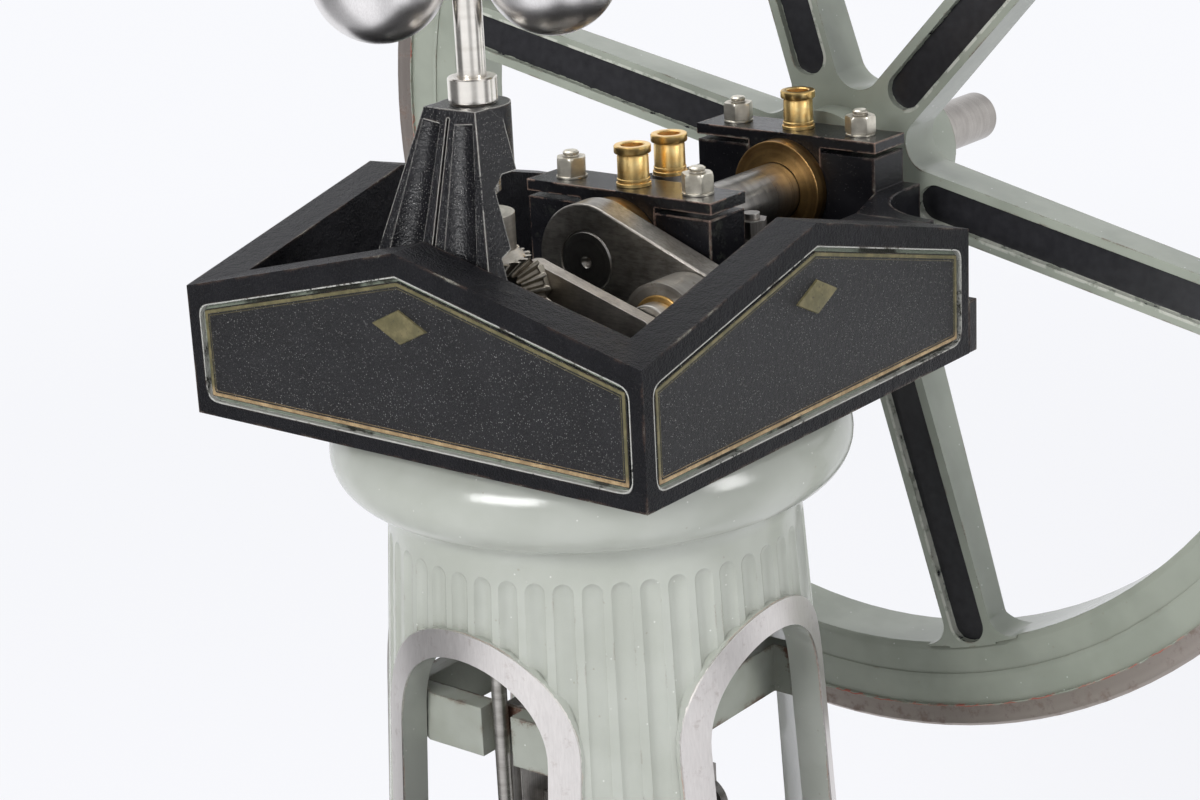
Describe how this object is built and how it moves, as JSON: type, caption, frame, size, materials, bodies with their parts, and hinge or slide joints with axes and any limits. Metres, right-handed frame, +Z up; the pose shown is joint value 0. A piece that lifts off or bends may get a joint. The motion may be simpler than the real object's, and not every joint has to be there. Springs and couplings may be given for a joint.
{
  "type": "column steam engine model",
  "caption": "Model steam engine on a fluted column with arched openings, a gabled square top, an overhung crank, a spoked flywheel and a ball governor.",
  "frame": {"origin": "on the column's axis, at the underside of the base plate", "axes": "+Z up, +Y along the crankshaft from the crank to the flywheel, -Y is the front with the governor"},
  "size_m": [0.254, 0.2217, 0.4006],
  "materials": {
    "sage_paint": "gloss enamel over a casting",
    "black_paint": "black enamel over a rough casting",
    "bright_steel": "turned and polished",
    "dark_steel": "machined, slightly tarnished",
    "turned_brass": "polished",
    "bronze": "tarnished"
  },
  "bodies": {
    "engine_frame": {"base_plate": "sage_paint", "column": "sage_paint", "guide_frame": "sage_paint", "guide_bars": "dark_steel", "entablature": "black_paint", "rear_bracket": "black_paint", "governor_bracket": "black_paint", "governor_bush": "bright_steel", "crank_pedestal": "black_paint", "crank_bearing_cap": "black_paint", "crank_bearing_bush": "bronze", "flywheel_bearing_cap": "black_paint", "flywheel_bearing_bush": "bronze", "cap_nuts": "bright_steel", "bearing_oil_cups": "turned_brass", "cylinder": "sage_paint", "cylinder_cover": "dark_steel", "steam_chest": "sage_paint", "steam_inlet": "bronze", "exhaust_outlet": "bronze", "valve_spindle": "bright_steel", "throttle_rod": "bright_steel", "crosshead": "dark_steel", "piston_rod": "bright_steel"},
    "crankshaft": {"crankshaft": "bright_steel", "crank_web": "dark_steel", "eccentric": "dark_steel", "flywheel": "sage_paint", "flywheel_key": "bright_steel", "drive_bar": "dark_steel", "drive_gear": "dark_steel"},
    "connecting_rod": {"connecting_rod": "dark_steel", "big_end_brass": "turned_brass", "crankpin": "bright_steel"},
    "eccentric_strap": {"eccentric_strap": "dark_steel", "strap_oil_cup": "turned_brass"},
    "governor_spindle": {"governor_spindle": "bright_steel", "governor_pinion": "bright_steel", "governor_head": "bright_steel"},
    "left_arm": {"left_arm": "bright_steel"},
    "right_arm": {"right_arm": "bright_steel"},
    "governor_sleeve": {"governor_sleeve": "bright_steel"},
    "left_link": {"left_link": "bright_steel"},
    "right_link": {"right_link": "bright_steel"}
  },
  "joints": [
    {"name": "crank_spin", "type": "hinge", "parent": "engine_frame", "child": "crankshaft", "pos_m": [0, 0, 0.27365], "axis": [0, 1, 0], "continuous": true},
    {"name": "rod_swing", "type": "hinge", "parent": "engine_frame", "child": "connecting_rod", "pos_m": [0, -0.0035, 0.16407], "axis": [0, 1, 0], "range_deg": [-27.37, 0.62]},
    {"name": "strap_turn", "type": "hinge", "parent": "crankshaft", "child": "eccentric_strap", "pos_m": [0, 0.0285, 0.27115], "axis": [0, 1, 0], "continuous": true},
    {"name": "governor_spin", "type": "hinge", "parent": "engine_frame", "child": "governor_spindle", "pos_m": [0, -0.028, 0.29], "axis": [0, 0, 1], "continuous": true},
    {"name": "left_arm_swing", "type": "hinge", "parent": "governor_spindle", "child": "left_arm", "pos_m": [-0.00466, -0.03178, 0.378], "axis": [-0.6293, 0.7771, 0], "range_deg": [0, 20]},
    {"name": "right_arm_swing", "type": "hinge", "parent": "governor_spindle", "child": "right_arm", "pos_m": [0.00466, -0.02422, 0.378], "axis": [0.6293, -0.7771, 0], "range_deg": [0, 20]},
    {"name": "sleeve_lift", "type": "slide", "parent": "governor_spindle", "child": "governor_sleeve", "axis": [0, 0, 1], "range_m": [0, 0.0033]},
    {"name": "left_link_turn", "type": "hinge", "parent": "governor_sleeve", "child": "left_link", "pos_m": [-0.00466, -0.03178, 0.35057], "axis": [0.6293, -0.7771, 0], "range_deg": [0, 20]},
    {"name": "right_link_turn", "type": "hinge", "parent": "governor_sleeve", "child": "right_link", "pos_m": [0.00466, -0.02422, 0.35057], "axis": [-0.6293, 0.7771, 0], "range_deg": [0, 20]}
  ],
  "couplings": [
    {"joint": "strap_turn", "follows": "crank_spin", "ratio": -1},
    {"joint": "governor_spin", "follows": "crank_spin", "ratio": -1},
    {"joint": "right_arm_swing", "follows": "left_arm_swing", "ratio": 1},
    {"joint": "sleeve_lift", "follows": "left_arm_swing", "m_per_rad": 0.009454},
    {"joint": "left_link_turn", "follows": "left_arm_swing", "ratio": 1},
    {"joint": "right_link_turn", "follows": "left_arm_swing", "ratio": 1}
  ]
}
